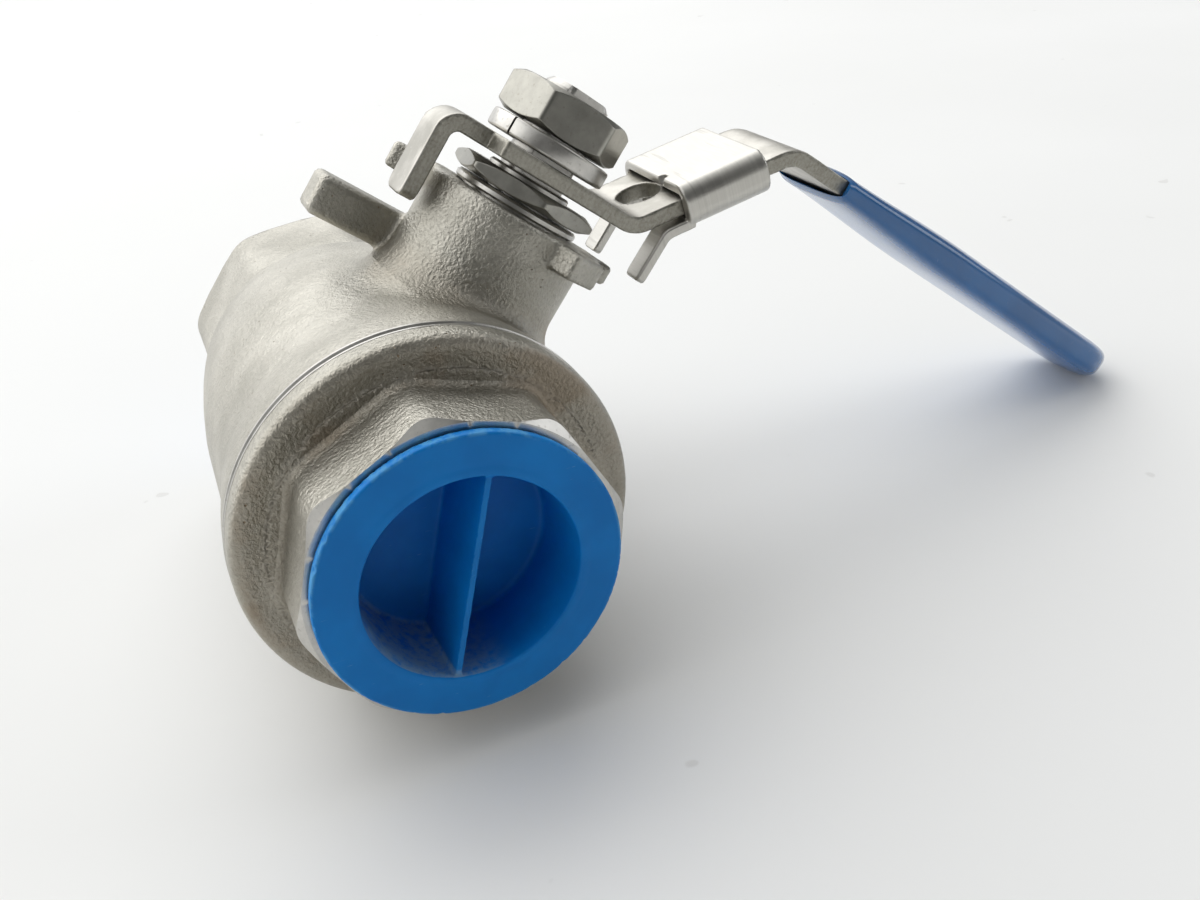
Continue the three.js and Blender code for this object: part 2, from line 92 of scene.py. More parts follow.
class Graph:
    def __init__(self, tree):
        self.tree = tree

    def node(self, kind, settings=None, inputs=None, out=0):
        made = self.tree.nodes.new(kind)
        for name, value in (settings or {}).items():
            if name == "stops":
                while len(made.color_ramp.elements) < len(value):
                    made.color_ramp.elements.new(0.5)
                for element, (place, colour) in zip(made.color_ramp.elements, value):
                    element.position, element.color = place, (*colour, 1)
            else:
                setattr(made, name, value)
        for name, value in (inputs or {}).items():
            self.feed(made.inputs[name], value)
        return Wire(self, made.outputs[out])

    def feed(self, socket, value):
        if isinstance(value, Wire):
            self.tree.links.new(value.socket, socket)
        elif isinstance(value, (list, tuple)) and len(value) == 3 and socket.type == "RGBA":
            socket.default_value = (*value, 1)
        else:
            socket.default_value = value

    def math(self, operation, a, b=0.0, c=0.0):
        return self.node("ShaderNodeMath", {"operation": operation}, {0: a, 1: b, 2: c})

    def stretch(self, value, low, high, newLow=0.0, newHigh=1.0, kind="SMOOTHSTEP"):
        return self.node("ShaderNodeMapRange", {"interpolation_type": kind},
                         {"Value": value, "From Min": low, "From Max": high,
                          "To Min": newLow, "To Max": newHigh}, "Result")

    def mix(self, factor, a, b):
        return self.node("ShaderNodeMix", {"data_type": "RGBA"}, {0: factor, 6: a, 7: b}, 2)

    def noise(self, at, size, detail=2.0, roughness=0.5, distortion=0.0):
        # size is in millimetres
        return self.node("ShaderNodeTexNoise", {}, {"Vector": at, "Scale": 1000 / size, "Detail": detail,
                                                    "Roughness": roughness, "Distortion": distortion})

    def point(self, x, y, z=0.0):
        return self.node("ShaderNodeCombineXYZ", {}, {"X": x, "Y": y, "Z": z})

    def dot(self, a, b):
        return self.node("ShaderNodeVectorMath", {"operation": "DOT_PRODUCT"}, {0: a, 1: b}, "Value")

    def radius(self, a, b):
        return self.math("SQRT", a * a + b * b)

    def streaks(self, at, turn, squeeze, size, detail=2.0, roughness=0.6):
        # noise drawn out along one direction
        drawn = self.node("ShaderNodeMapping", {}, {"Vector": at, "Rotation": turn, "Scale": squeeze})
        return self.noise(drawn, size, detail, roughness)

    def axes(self, at):
        cut = self.node("ShaderNodeSeparateXYZ", {}, {"Vector": at})
        return [Wire(self, cut.socket.node.outputs[i]) for i in range(3)]


# Finishes. Their patterns follow Object coordinates, so they stay with the piece.
def newFinish(name):
    material = bpy.data.materials.new(name)
    material.use_nodes = True
    graph = Graph(material.node_tree)
    shader = material.node_tree.nodes["Principled BSDF"]
    here = graph.node("ShaderNodeTexCoord", {}, {}, "Object")
    return material, graph, shader, here


def valveCoordinates(graph, here):
    # metres in the row frame to millimetres in the valve's own directions
    middle = joints["ball_turn"]["pos_m"]
    moved = graph.node("ShaderNodeVectorMath", {"operation": "SUBTRACT"}, {0: here, 1: tuple(middle)})
    return [graph.dot(moved, tuple(way * 1000)) for way in (leverDir, pipeDir, stemDir)]


def bump(graph, shader, height, strength, distance):
    # distance is in millimetres
    normal = graph.node("ShaderNodeBump", {}, {"Height": height, "Strength": strength,
                                               "Distance": distance / 1000}, "Normal")
    graph.feed(shader.inputs["Normal"], normal)


castLook = {"clean": (0.51, 0.49, 0.435), "dull": (0.36, 0.345, 0.30), "stain": (0.25, 0.19, 0.125),
            "grain": 0.5, "lumps": 2.6, "pits": 1.1, "clouds": 14, "neckFoot": 24.5, "capRoot": 30.2,
            "bodyRoot": 28.0, "bumpStrength": 0.95, "bumpDepth": 0.25}


def castSteel():
    material, graph, shader, here = newFinish("blasted casting")
    x, y, z = valveCoordinates(graph, here)
    look = castLook
    grain = graph.noise(here, look["grain"], 3, 0.55, 0.2)
    lumps = graph.noise(here, look["lumps"], 2, 0.5)
    cloud = graph.noise(here, look["clouds"], 4, 0.6)
    pits = graph.node("ShaderNodeTexVoronoi", {"feature": "F1"},
                      {"Vector": here, "Scale": 1000 / look["pits"], "Randomness": 1.0}, "Distance")
    rare = graph.stretch(graph.noise(here, 4.5, 1), 0.60, 0.66)
    pit = graph.stretch(pits, 0.16, 0.06) * rare
    # brown left by heat and hands where the neck leaves the barrel and behind both octagons
    ringDistance = graph.math("ABSOLUTE", z - look["neckFoot"])
    aroundNeck = graph.radius(x, y)
    neckStain = graph.stretch(ringDistance, 5.5, 0.5) * graph.stretch(aroundNeck, 19, 13.5)
    rootStain = graph.stretch(graph.math("ABSOLUTE", y + look["capRoot"]), 1.6, 0.2)
    rootStain = rootStain + graph.stretch(graph.math("ABSOLUTE", y - look["bodyRoot"]), 2.5, 0.3) * 0.6
    patch = graph.stretch(cloud, 0.42, 0.66)
    stained = graph.math("MINIMUM", (neckStain * 0.75 + rootStain) * (0.25 + patch * 0.75), 0.75)
    body = graph.mix(graph.stretch(cloud + (grain - 0.5) * 0.5, 0.30, 0.72), look["dull"], look["clean"])
    body = graph.mix(graph.math("MINIMUM", stained * 0.85 + pit * 0.8, 1.0), body, look["stain"])
    graph.feed(shader.inputs["Base Color"], body)
    graph.feed(shader.inputs["Roughness"], 0.33 + grain * 0.14 + stained * 0.12)
    shader.inputs["Metallic"].default_value = 0.96
    height = grain * 1.0 + lumps * 0.6 - pit * 1.4
    bump(graph, shader, height, look["bumpStrength"], look["bumpDepth"])
    return material


def turnedSteel(name="turned", tone=(0.60, 0.585, 0.55), rough=0.2, way="pipe", groove=0.28):
    material, graph, shader, here = newFinish(name)
    x, y, z = valveCoordinates(graph, here)
    across, along = (graph.radius(x, z), y) if way == "pipe" else (graph.radius(x, y), z)
    sweep = graph.noise(graph.point(across * 0.001, along * 0.001), groove, 2, 0.7)
    dust = graph.noise(here, 2.6, 4, 0.65)
    speck = graph.stretch(graph.noise(here, 0.7, 2, 0.6), 0.60, 0.72)
    shade = graph.mix(graph.stretch(dust, 0.3, 0.75), tuple(c * 0.8 for c in tone), tone)
    graph.feed(shader.inputs["Base Color"], graph.mix(speck * 0.3, shade, (0.2, 0.18, 0.15)))
    graph.feed(shader.inputs["Roughness"], rough + dust * 0.16 + sweep * 0.08 + speck * 0.1)
    shader.inputs["Metallic"].default_value = 1.0
    bump(graph, shader, sweep, 0.25, 0.03)
    return material


def pressedSteel():
    # stamped sheet, tumbled: soft pits and handling scratches over a rolled skin
    material, graph, shader, here = newFinish("stamped sheet")
    fine = graph.noise(here, 0.5, 3, 0.6)
    soft = graph.noise(here, 5, 3, 0.55)
    lines = graph.streaks(here, (0.3, 0.5, 0.9), (1, 9, 9), 3.5)
    scratch = graph.stretch(lines, 0.66, 0.72)
    tone = graph.mix(graph.stretch(soft, 0.35, 0.68), (0.40, 0.385, 0.345), (0.56, 0.54, 0.495))
    tone = graph.mix(scratch * 0.35, tone, (0.72, 0.71, 0.68))
    graph.feed(shader.inputs["Base Color"], tone)
    graph.feed(shader.inputs["Roughness"], 0.27 + fine * 0.16 + soft * 0.1 - scratch * 0.08)
    shader.inputs["Metallic"].default_value = 1.0
    bump(graph, shader, fine * 0.6 + soft * 0.4 + scratch * 0.5, 0.3, 0.08)
    return material


def shearedSteel():
    material, graph, shader, here = newFinish("sheared edge")
    x, y, z = valveCoordinates(graph, here)
    tear = graph.noise(here, 0.45, 4, 0.7)
    drag = graph.noise(graph.point(x * 0.0022, y * 0.001, z * 0.0003), 0.7, 2, 0.6)
    torn = graph.stretch(drag * 0.4 + tear, 0.4, 0.95)
    graph.feed(shader.inputs["Base Color"], graph.mix(torn, (0.27, 0.255, 0.215), (0.44, 0.425, 0.375)))
    graph.feed(shader.inputs["Roughness"], 0.34 + tear * 0.25)
    shader.inputs["Metallic"].default_value = 0.95
    bump(graph, shader, tear + drag * 0.35, 0.6, 0.12)
    return material


def brushedSteel():
    # linished across the fold, with a few deeper strokes
    material, graph, shader, here = newFinish("linished sheet")
    x, y, z = valveCoordinates(graph, here)
    upRise = x * math.cos(riseAngle) + z * math.sin(riseAngle)
    flat = graph.point(upRise * 0.001, y * 0.00008)
    strokes = graph.noise(flat, 0.32, 3, 0.65)
    deep = graph.stretch(graph.noise(flat, 0.9, 1, 0.5), 0.63, 0.69)
    cloud = graph.noise(here, 6, 3, 0.6)
    tone = graph.mix(strokes, (0.46, 0.445, 0.41), (0.66, 0.645, 0.60))
    graph.feed(shader.inputs["Base Color"], graph.mix(deep * 0.3, tone, (0.3, 0.29, 0.265)))
    graph.feed(shader.inputs["Roughness"], 0.24 + strokes * 0.14 + cloud * 0.12)
    shader.inputs["Metallic"].default_value = 1.0
    bump(graph, shader, strokes + deep * 0.6, 0.35, 0.06)
    return material


def polishedBall():
    material, graph, shader, here = newFinish("polished ball")
    haze = graph.noise(here, 7, 3, 0.6)
    graph.feed(shader.inputs["Base Color"], graph.mix(haze, (0.62, 0.62, 0.61), (0.74, 0.74, 0.73)))
    graph.feed(shader.inputs["Roughness"], 0.06 + haze * 0.08)
    shader.inputs["Metallic"].default_value = 1.0
    bump(graph, shader, graph.noise(here, 0.4, 2), 0.04, 0.02)
    return material


def waxyPtfe():
    material, graph, shader, here = newFinish("ptfe")
    cloud = graph.noise(here, 3, 3, 0.6)
    graph.feed(shader.inputs["Base Color"], graph.mix(cloud, (0.78, 0.77, 0.73), (0.88, 0.875, 0.85)))
    graph.feed(shader.inputs["Roughness"], 0.38 + cloud * 0.2)
    shader.inputs["Subsurface Weight"].default_value = 0.15
    shader.inputs["Subsurface Radius"].default_value = (0.002, 0.002, 0.002)
    bump(graph, shader, graph.noise(here, 0.35, 2), 0.15, 0.03)
    return material


plugLook = {"face": (0.0004, 0.18, 0.56), "thin": (0.001, 0.22, 0.65), "scuff": (0.16, 0.46, 0.70)}


def mouldedPlug():
    material, graph, shader, here = newFinish("moulded polyethylene")
    look = plugLook
    cloud = graph.noise(here, 9, 3, 0.55)
    skin = graph.noise(here, 0.55, 3, 0.6)
    lines = graph.streaks(here, (0.2, 0.8, 0.4), (1, 10, 10), 2.8)
    scuff = graph.stretch(lines, 0.70, 0.76) * graph.stretch(graph.noise(here, 6, 1), 0.48, 0.62)
    x, y, z = valveCoordinates(graph, here)
    r = graph.radius(x, z)
    # the rim is rubbed pale, and the lower wall of the recess is painted paler: dust together with a painted
    # sheen
    rubbed = graph.stretch(r, 18.95, 19.4) * graph.stretch(graph.noise(here, 2.2, 3, 0.7), 0.42, 0.62)
    scuff = graph.math("MAXIMUM", scuff, rubbed)
    recess = graph.stretch(r, 12.9, 13.5) * graph.stretch(r, 13.98, 13.9)
    dust = graph.stretch(graph.noise(here, 1.4, 4, 0.7), 0.25, 0.6)
    dust = recess * graph.stretch(z * -1.0, 7.5, 12.5) * dust
    tone = graph.mix(graph.stretch(cloud, 0.3, 0.7), look["face"], look["thin"])
    # painted sheen and dust: the lower wall of the recess is mixed towards a paler grey-blue
    tone = graph.mix(dust * 0.6, tone, (0.30, 0.42, 0.46))
    graph.feed(shader.inputs["Base Color"], graph.mix(scuff * 0.45, tone, look["scuff"]))
    graph.feed(shader.inputs["Roughness"], 0.42 + skin * 0.14 + scuff * 0.2 + dust * 0.2)
    shader.inputs["Specular IOR Level"].default_value = 0.22
    shader.inputs["Subsurface Weight"].default_value = 0.12
    shader.inputs["Subsurface Radius"].default_value = (0.0004, 0.0012, 0.003)
    bump(graph, shader, skin * 0.5 + cloud * 0.6 + scuff * 0.4, 0.25, 0.08)
    return material


def dippedVinyl():
    material, graph, shader, here = newFinish("dipped vinyl")
    flow = graph.noise(here, 16, 2, 0.5)
    ripple = graph.streaks(here, (0, 0, 0), (0.35, 1, 1), 5, 1, 0.4)
    dust = graph.stretch(graph.noise(here, 0.9, 3, 0.7), 0.68, 0.74)
    tone = graph.mix(graph.stretch(flow, 0.3, 0.7), (0.006, 0.115, 0.34), (0.010, 0.155, 0.44))
    graph.feed(shader.inputs["Base Color"], graph.mix(dust * 0.2, tone, (0.16, 0.3, 0.5)))
    graph.feed(shader.inputs["Roughness"], 0.20 + flow * 0.10 + dust * 0.25)
    shader.inputs["Coat Weight"].default_value = 0.6
    shader.inputs["Coat Roughness"].default_value = 0.09
    bump(graph, shader, ripple + dust * 0.03, 0.22, 0.5)
    return material


finishes = {
    "cast": castSteel(), "turned": turnedSteel(), "spun": turnedSteel("turned about the stem", way="stem"),
    "dark": turnedSteel("cold drawn hexagon", (0.40, 0.39, 0.35), 0.22, "stem", 0.5),
    "sheet": pressedSteel(), "sheared": shearedSteel(), "brushed": brushedSteel(), "ball": polishedBall(),
    "ptfe": waxyPtfe(), "plug": mouldedPlug(), "vinyl": dippedVinyl()}
print("finishes made:", len(finishes))


# Solids from distance fields, which are below zero inside. Sizes are in millimetres.
def smoothMin(a, b, k):
    h = np.clip(0.5 + 0.5 * (b - a) / k, 0, 1)
    return b * (1 - h) + a * h - k * h * (1 - h)


def smoothMax(a, b, k):
    return -smoothMin(-a, -b, k)


def both(*fields):
    return np.maximum.reduce(np.broadcast_arrays(*fields))


def either(*fields):
    return np.minimum.reduce(np.broadcast_arrays(*fields))


def roundBox(x, y, z, half, r):
    q = [np.abs(v) - h + r for v, h in zip((x, y, z), half)]
    outside = np.sqrt(sum(np.maximum(v, 0) ** 2 for v in q))
    return outside + np.minimum(both(*q), 0) - r


def softLine(points, width):
    # radius along the axis, drawn through a few points and smoothed over a few millimetres
    step = 0.05
    at = np.arange(points[0][0] - 3 * width, points[-1][0] + 3 * width, step)
    line = np.interp(at, [p[0] for p in points], [p[1] for p in points])
    pull = np.hanning(int(width / step) | 1)
    line = np.convolve(np.pad(line, len(pull) // 2, mode="edge"), pull / pull.sum(), mode="valid")
    return lambda t: np.interp(t, at, line)


def fieldWay(field, points, nudge):
    # the unit direction in which the field grows at each point
    way = np.stack([field(*(points + step).T) - field(*(points - step).T) for step in nudge * np.eye(3)], 1)
    return way / (np.linalg.norm(way, axis=1, keepdims=True) + 1e-12)


meshing = {"slopeNudge": 0.02, "cornerNudge": 0.012, "cornerIn": 0.12, "hold": 0.02, "furthest": 0.7}


def fieldMesh(field, low, high, cell):
    # dual contouring: one vertex in each cell that the surface crosses, pulled onto its planes
    axes = [np.arange(low[i], high[i] + cell, cell) for i in range(3)]
    grid = np.meshgrid(*axes, indexing="ij", sparse=True)
    value = np.array(np.broadcast_to(field(*grid), [len(a) for a in axes]), dtype=np.float64)
    inside = value < 0
    cells = [len(a) - 1 for a in axes]
    crossings = []
    for axis in range(3):
        at = np.argwhere(np.diff(inside, axis=axis))
        others = [i for i in range(3) if i != axis]
        at = at[np.all([(at[:, i] > 0) & (at[:, i] < cells[i]) for i in others], axis=0)]
        before = value[tuple(at.T)]
        shifted = at.copy()
        shifted[:, axis] += 1
        after = value[tuple(shifted.T)]
        point = np.stack([axes[i][at[:, i]] for i in range(3)], 1)
        point[:, axis] += cell * before / (before - after)
        crossings.append((axis, at, point, before < 0))
    points = np.concatenate([c[2] for c in crossings])
    slope = fieldWay(field, points, meshing["slopeNudge"])
    stride = np.array([cells[1] * cells[2], cells[2], 1])
    owners, quads = [], []
    for axis, at, point, entering in crossings:
        u, v = [i for i in range(3) if i != axis]
        corners = []
        for du, dv in ((0, 0), (-1, 0), (-1, -1), (0, -1)):
            cellAt = at.copy()
            cellAt[:, u] += du
            cellAt[:, v] += dv
            corners.append(cellAt @ stride)
        corner = np.stack(corners, 1)
        owners.append(corner)
        flip = entering if axis != 1 else ~entering
        quads.append(np.where(flip[:, None], corner, corner[:, ::-1]))
    owner = np.concatenate(owners)
    used, index = np.unique(owner.ravel(), return_inverse=True)
    n = len(used)
    edgeOf = np.repeat(np.arange(len(points)), 4)
    count = np.bincount(index, minlength=n)
    middle = np.stack([np.bincount(index, points[edgeOf, i], n) for i in range(3)], 1) / count[:, None]
    normal = slope[edgeOf]
    reach = np.einsum("ij,ij->i", normal, points[edgeOf] - middle[index])
    square = np.empty((n, 3, 3))
    for i in range(3):
        for j in range(3):
            square[:, i, j] = np.bincount(index, normal[:, i] * normal[:, j], n)
    pull = np.stack([np.bincount(index, normal[:, i] * reach, n) for i in range(3)], 1)
    square += np.eye(3) * meshing["hold"] * count[:, None, None]
    furthest = meshing["furthest"] * cell
    shift = np.clip(np.linalg.solve(square, pull[:, :, None])[:, :, 0], -furthest, furthest)
    faces = np.searchsorted(used, np.concatenate(quads))
    found = middle + shift
    # each face's corners take the field's own direction a little inside that face, so edges stay crisp
    share = meshing["cornerIn"]
    inner = found[faces] * (1 - share) + found[faces].mean(1, keepdims=True) * share
    return found, faces, fieldWay(field, inner.reshape(-1, 3), meshing["cornerNudge"])


def pieceFrom(name, solid, materials, body, nodes, chooser=None):
    points, faces, way = solid
    mesh = bpy.data.meshes.new(name)
    spot = np.array(toRow)
    mesh.vertices.add(len(points))
    mesh.vertices.foreach_set("co", (points @ spot[:3, :3].T + spot[:3, 3]).ravel())
    mesh.loops.add(faces.size)
    mesh.loops.foreach_set("vertex_index", faces.ravel())
    mesh.polygons.add(len(faces))
    mesh.polygons.foreach_set("loop_start", np.arange(0, faces.size, faces.shape[1]))
    mesh.update(calc_edges=True)
    for material in materials:
        mesh.materials.append(finishes[material])
    if chooser is not None:
        centre = points[faces].mean(1)
        mesh.polygons.foreach_set("material_index", chooser(*centre.T).astype(np.int32))
    mesh.shade_smooth()
    turned = way @ (spot[:3, :3].T * 1000)
    mesh.normals_split_custom_set(turned.tolist())
    return finishPiece(name, mesh, body, nodes, 0)


def weld(mesh, distance):
    # joins doubled points and turns the faces outwards
    work = bmesh.new()
    work.from_mesh(mesh)
    bmesh.ops.remove_doubles(work, verts=work.verts, dist=distance)
    bmesh.ops.recalc_face_normals(work, faces=work.faces)
    work.to_mesh(mesh)
    work.free()


def finishPiece(name, mesh, body, nodes, sharp=35):
    if sharp:
        mesh.shade_smooth()
        mesh.set_sharp_from_angle(angle=math.radians(sharp))
    piece = bpy.data.objects.new(name, mesh)
    bpy.context.scene.collection.objects.link(piece)
    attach(piece, body)
    if nodes:
        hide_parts(*nodes)
    print("piece", name, len(mesh.polygons), "faces")
    return piece


# Turned pieces are rings of points about an axis. A ring's radius and height may follow the angle.
def ringPiece(name, rings, material, body, nodes, about="stem", count=360, closed=True, sharp=28):
    angle = np.arange(count) * math.tau / count
    loops = []
    for radius, height in rings:
        r = np.broadcast_to(radius(angle) if callable(radius) else radius, angle.shape)
        h = np.broadcast_to(height(angle) if callable(height) else height, angle.shape)
        u, v = r * np.cos(angle), r * np.sin(angle)
        loops.append(np.stack([u, v, h] if about == "stem" else [u, h, v], 1))
    spot = np.array(toRow)
    points = np.concatenate(loops) @ spot[:3, :3].T + spot[:3, 3]
    bands = [(k * count, (k + 1) % len(rings) * count) for k in range(len(rings) - (not closed))]
    faces = [[a + i, a + (i + 1) % count, b + (i + 1) % count, b + i] for a, b in bands for i in range(count)]
    mesh = bpy.data.meshes.new(name)
    mesh.from_pydata(points.tolist(), [], faces)
    weld(mesh, 2e-6)
    mesh.materials.append(finishes[material])
    return finishPiece(name, mesh, body, nodes, sharp)


def manySided(sides, acrossFlats, cornerDeg, cornerCut, soft=0.35):
    # the radius of a regular prism whose corners are cut back to a circle
    step = math.tau / sides

    def radius(angle):
        off = np.mod(angle - math.radians(cornerDeg), step) - step / 2
        return smoothMin(acrossFlats / 2 / np.cos(off), cornerCut, soft)
    return radius


# Body: one casting with a barrel, a neck, an octagon end, a lug and the lever stops.
octagonSize = {"acrossFlats": 40, "corner": 21.25, "chamfer": 20.2, "slope": 0.87, "setBack": 0.06}
bodySize = {"jointFace": -25.55, "face": 49.5, "bore": 12.5, "threadRoot": 16.55,
            "chamber": 20.3, "neck": 12.8, "neckTop": 38.6, "neckBlend": 3.0, "cell": 0.61}
# each stop's middle in degrees, width, reach from the stem's axis and underside
leverStops = ((149.5, 4.3, 19.0, 34.8), (-61, 7.4, 16.4, 34.7), (-8, 4.6, 17.2, 35.6), (-32, 9.5, 14.3, 36.2))
barrelLine = softLine([(-27, 26.62), (-24, 26.6), (-21, 26.35), (-15, 25.5), (-9, 25.1), (0, 24.95),
                       (7, 24.85), (14, 24.3), (20, 23.6), (25, 22.8), (28, 21.2), (31, 18.5)], 3.5)


def octagonRadius(cornerDeg):
    return manySided(8, octagonSize["acrossFlats"], cornerDeg, octagonSize["corner"])


def octagonEnd(x, y, z, face, cornerDeg):
    out = math.copysign(1, face)
    r = np.hypot(x, z)
    size = octagonSize
    cast = (r - octagonRadius(cornerDeg)(np.arctan2(z, x))) * 0.96
    depth = out * (face - y) - size["setBack"]
    turned = (r - size["chamfer"] - size["slope"] * depth) / math.hypot(1, size["slope"])
    return both(cast, turned, -depth)


def turnedEnd(name, face, cornerDeg, body):
    # the faced and chamfered end of an octagon, cut clean across the casting
    out, size = math.copysign(1, face), octagonSize
    edge = octagonRadius(cornerDeg)

    def chamferDepth(angle):
        return np.maximum(edge(angle) - size["chamfer"], 0) / size["slope"]
    # radius and depth behind the face, from the thread's mouth out over the chamfer
    rings = [(16.1, 1.7), (16.7, 0.8), (17.4, 0.0), (lambda a: np.minimum(edge(a), size["chamfer"]), 0.0),
             (lambda a: edge(a) + 0.02, chamferDepth), (lambda a: edge(a) - 0.5, lambda a: chamferDepth(a) + 0.6),
             (16.9, 2.0)]
    level = [(r, (lambda a, d=d: face - out * (d(a) if callable(d) else d))) for r, d in rings]
    ringPiece(name, level, "turned", body, [], "pipe")


def jointRim(name, face, out, radius):
    level = [(25.0, 0.0), (radius - 0.32, 0.0), (radius, 0.26), (radius, 0.62), (25.0, 0.8)]
    ringPiece(name, [(r, face + out * d) for r, d in level], "turned", "valve_body", [],
              "pipe")


def stopBlock(x, y, z, middleDeg, wide, reach, bottom, top):
    a = math.radians(middleDeg)
    along, across = x * math.cos(a) + y * math.sin(a), -x * math.sin(a) + y * math.cos(a)
    inner = 9.0
    return roundBox(along - (inner + reach) / 2, across, z - (bottom + top) / 2,
                    ((reach - inner) / 2, wide / 2, (top - bottom) / 2), 0.7)


def castBody(x, y, z):
    size = bodySize
    r = np.hypot(x, z)
    barrel = both(r - barrelLine(y), y - 31)
    rear = both(octagonEnd(x, y, z, size["face"], 22.5), 23 - y)
    shell = smoothMin(barrel, rear, 2.2)
    around = np.hypot(x, y)
    flare = 1.5 * np.clip((27.5 - z) / 4.5, 0, 1) ** 2
    neck = both(smoothMax(around - size["neck"] - flare, z - size["neckTop"], 0.9), 10 - z)
    shell = smoothMin(shell, neck, size["neckBlend"])
    lug = roundBox(x + 16.8, y - 8.6, z - 26.8, (7.8, 3.0, 3.0), 1.2)
    shell = smoothMin(shell, lug, 1.6)
    for stop in leverStops:
        shell = smoothMin(shell, stopBlock(x, y, z, *stop, size["neckTop"]), 0.7)
    shell = both(shell, size["jointFace"] + 0.3 - y)
    inside = either(
        both(r - size["chamber"], y - 12.3), both(r - 22.6, y + 14.2), both(r - 17.8, y - 17.7, -y),
        both(r - size["bore"], -y),
        both(r - size["threadRoot"], (r - size["bore"] - (y - 30.4) * 1.55) / 1.85, 25 - y),
        both(around - 5.3, -z), both(around - 7.7, z - 23.6, -z), both(around - 8.6, 26 - z))
    return both(shell, -inside)


def bodyFinish(x, y, z):
    # everything bored is machined, and so is the joint's face
    r = np.hypot(x, z)
    bored = (r < 16.8) & (y > 18) | (r < 22.8) & (y < 17.8) & (np.abs(z) < 23)
    topBore = (np.hypot(x, y) < 9.0) & (z > 20)
    return bored | topBore | (y < bodySize["jointFace"] + 0.1)


turnedEnd("body_turned_end", bodySize["face"], 22.5, "valve_body")
jointRim("body_joint_rim", bodySize["jointFace"], 1, 26.68)
solid = fieldMesh(castBody, (-27.6, -26.2, -27.6), (27.6, 50.2, 39.4), bodySize["cell"])
pieceFrom("valve_body", solid, ["cast", "turned"], "valve_body", ["body"], bodyFinish)


# End cap: a round flange, an octagon end and the spigot that enters the body.
capSize = {"face": -41.0, "jointFace": -25.86, "flange": 26.62, "front": -29.55, "round": 2.2, "spigotEnd": -16.1,
           "cell": 0.46}


def castCap(x, y, z):
    size = capSize
    r = np.hypot(x, z)
    flange = smoothMax(r - size["flange"], size["front"] - y - 0.12 * (r - 22), size["round"])
    octagon = both(octagonEnd(x, y, z, size["face"], 0), y + 27)
    shell = smoothMin(flange, octagon, 2.6)
    shell = both(shell, y - size["jointFace"] + 0.3)
    shell = either(shell, both(r - 22.3, y - size["spigotEnd"], -30 - y))
    inside = either(
        r - 12.5, both(r - 17.8, -17.7 - y),
        both(r - bodySize["threadRoot"], (r - 12.5 + (y + 21.9) * 1.55) / 1.85, y + 20))
    return both(shell, -inside)


def capFinish(x, y, z):
    return (y > capSize["jointFace"] - 0.4) | (np.hypot(x, z) < 16.8)


turnedEnd("cap_turned_end", capSize["face"], 0, "valve_body")
jointRim("cap_joint_rim", capSize["jointFace"], -1, 26.66)
solid = fieldMesh(castCap, (-27.6, -41.6, -27.6), (27.6, -15.6, 27.6), capSize["cell"])
pieceFrom("end_cap_casting", solid, ["cast", "turned"], "valve_body", ["end_cap"],
          capFinish)


# Thread plugs: moulded caps pushed into both pipe ends.
plugSize = {"flange": 19.45, "flangeThick": 1.5, "recess": 13.9, "barrel": 15.1, "length": 13.6, "floor": 1.6,
            "barrelDraft": 0.02, "recessDraft": 0.03, "webHalf": 0.36, "cell": 0.36, "nicks": 11, "seed": 4}


def plugField(webDeg, seed):
    size = plugSize
    rng = np.random.default_rng(seed)
    nickAt = [(a, size["flange"] + rng.uniform(0.1, 0.4), rng.uniform(0.1, 0.9), rng.uniform(0.3, 0.6))
              for a in rng.uniform(0, 2 * math.pi, size["nicks"])]
    lean = math.radians(webDeg)

    def plug(x, y, z):
        # y is the depth behind the flange's face
        r = np.hypot(x, z)
        flange = smoothMax(r - size["flange"], both(-y, y - size["flangeThick"]), 0.4)
        barrel = smoothMax(r - size["barrel"] + size["barrelDraft"] * y, both(y - size["length"], -y), 0.6)
        floorAt = size["length"] - size["floor"]
        recess = smoothMax(r - size["recess"] + size["recessDraft"] * y, y - floorAt, 0.9)
        solid = smoothMax(smoothMin(flange, barrel, 0.3), -recess, 0.35)
        across = x * math.cos(lean) - z * math.sin(lean)
        web = both(np.abs(across) - size["webHalf"] - 0.05 * y, r - size["recess"] - 0.6, 0.35 - y,
                   y - floorAt - 0.5)
        solid = smoothMin(solid, web, 0.5)
        for a, at, deep, big in nickAt:
            nick = np.sqrt((x - at * math.cos(a)) ** 2 + (y - deep) ** 2 + (z - at * math.sin(a)) ** 2) - big
            solid = smoothMax(solid, -nick, 0.15)
        return solid
    return plug


for name, body, node, face, out, webDeg, seed in (
        ("front_thread_plug", "front_plug", "thread_plug_front", -41.0, -1, -23, plugSize["seed"]),
        ("rear_thread_plug", "rear_plug", "thread_plug_rear", 49.5, 1, 31, plugSize["seed"] + 1)):
    points, faces, way = fieldMesh(plugField(webDeg, seed), (-19.9, -0.3, -19.9), (19.9, 14.0, 19.9),
                                   plugSize["cell"])
    points[:, 1] = face + out * (plugSize["flangeThick"] + 0.3 - points[:, 1])
    if out > 0:
        # turned end for end, so the faces wind the other way
        faces = faces[:, ::-1]
        way = way.reshape(-1, 4, 3)[:, ::-1].reshape(-1, 3)
    way[:, 1] *= -out
    pieceFrom(name, (points, faces, way), ["plug"], body, [node])


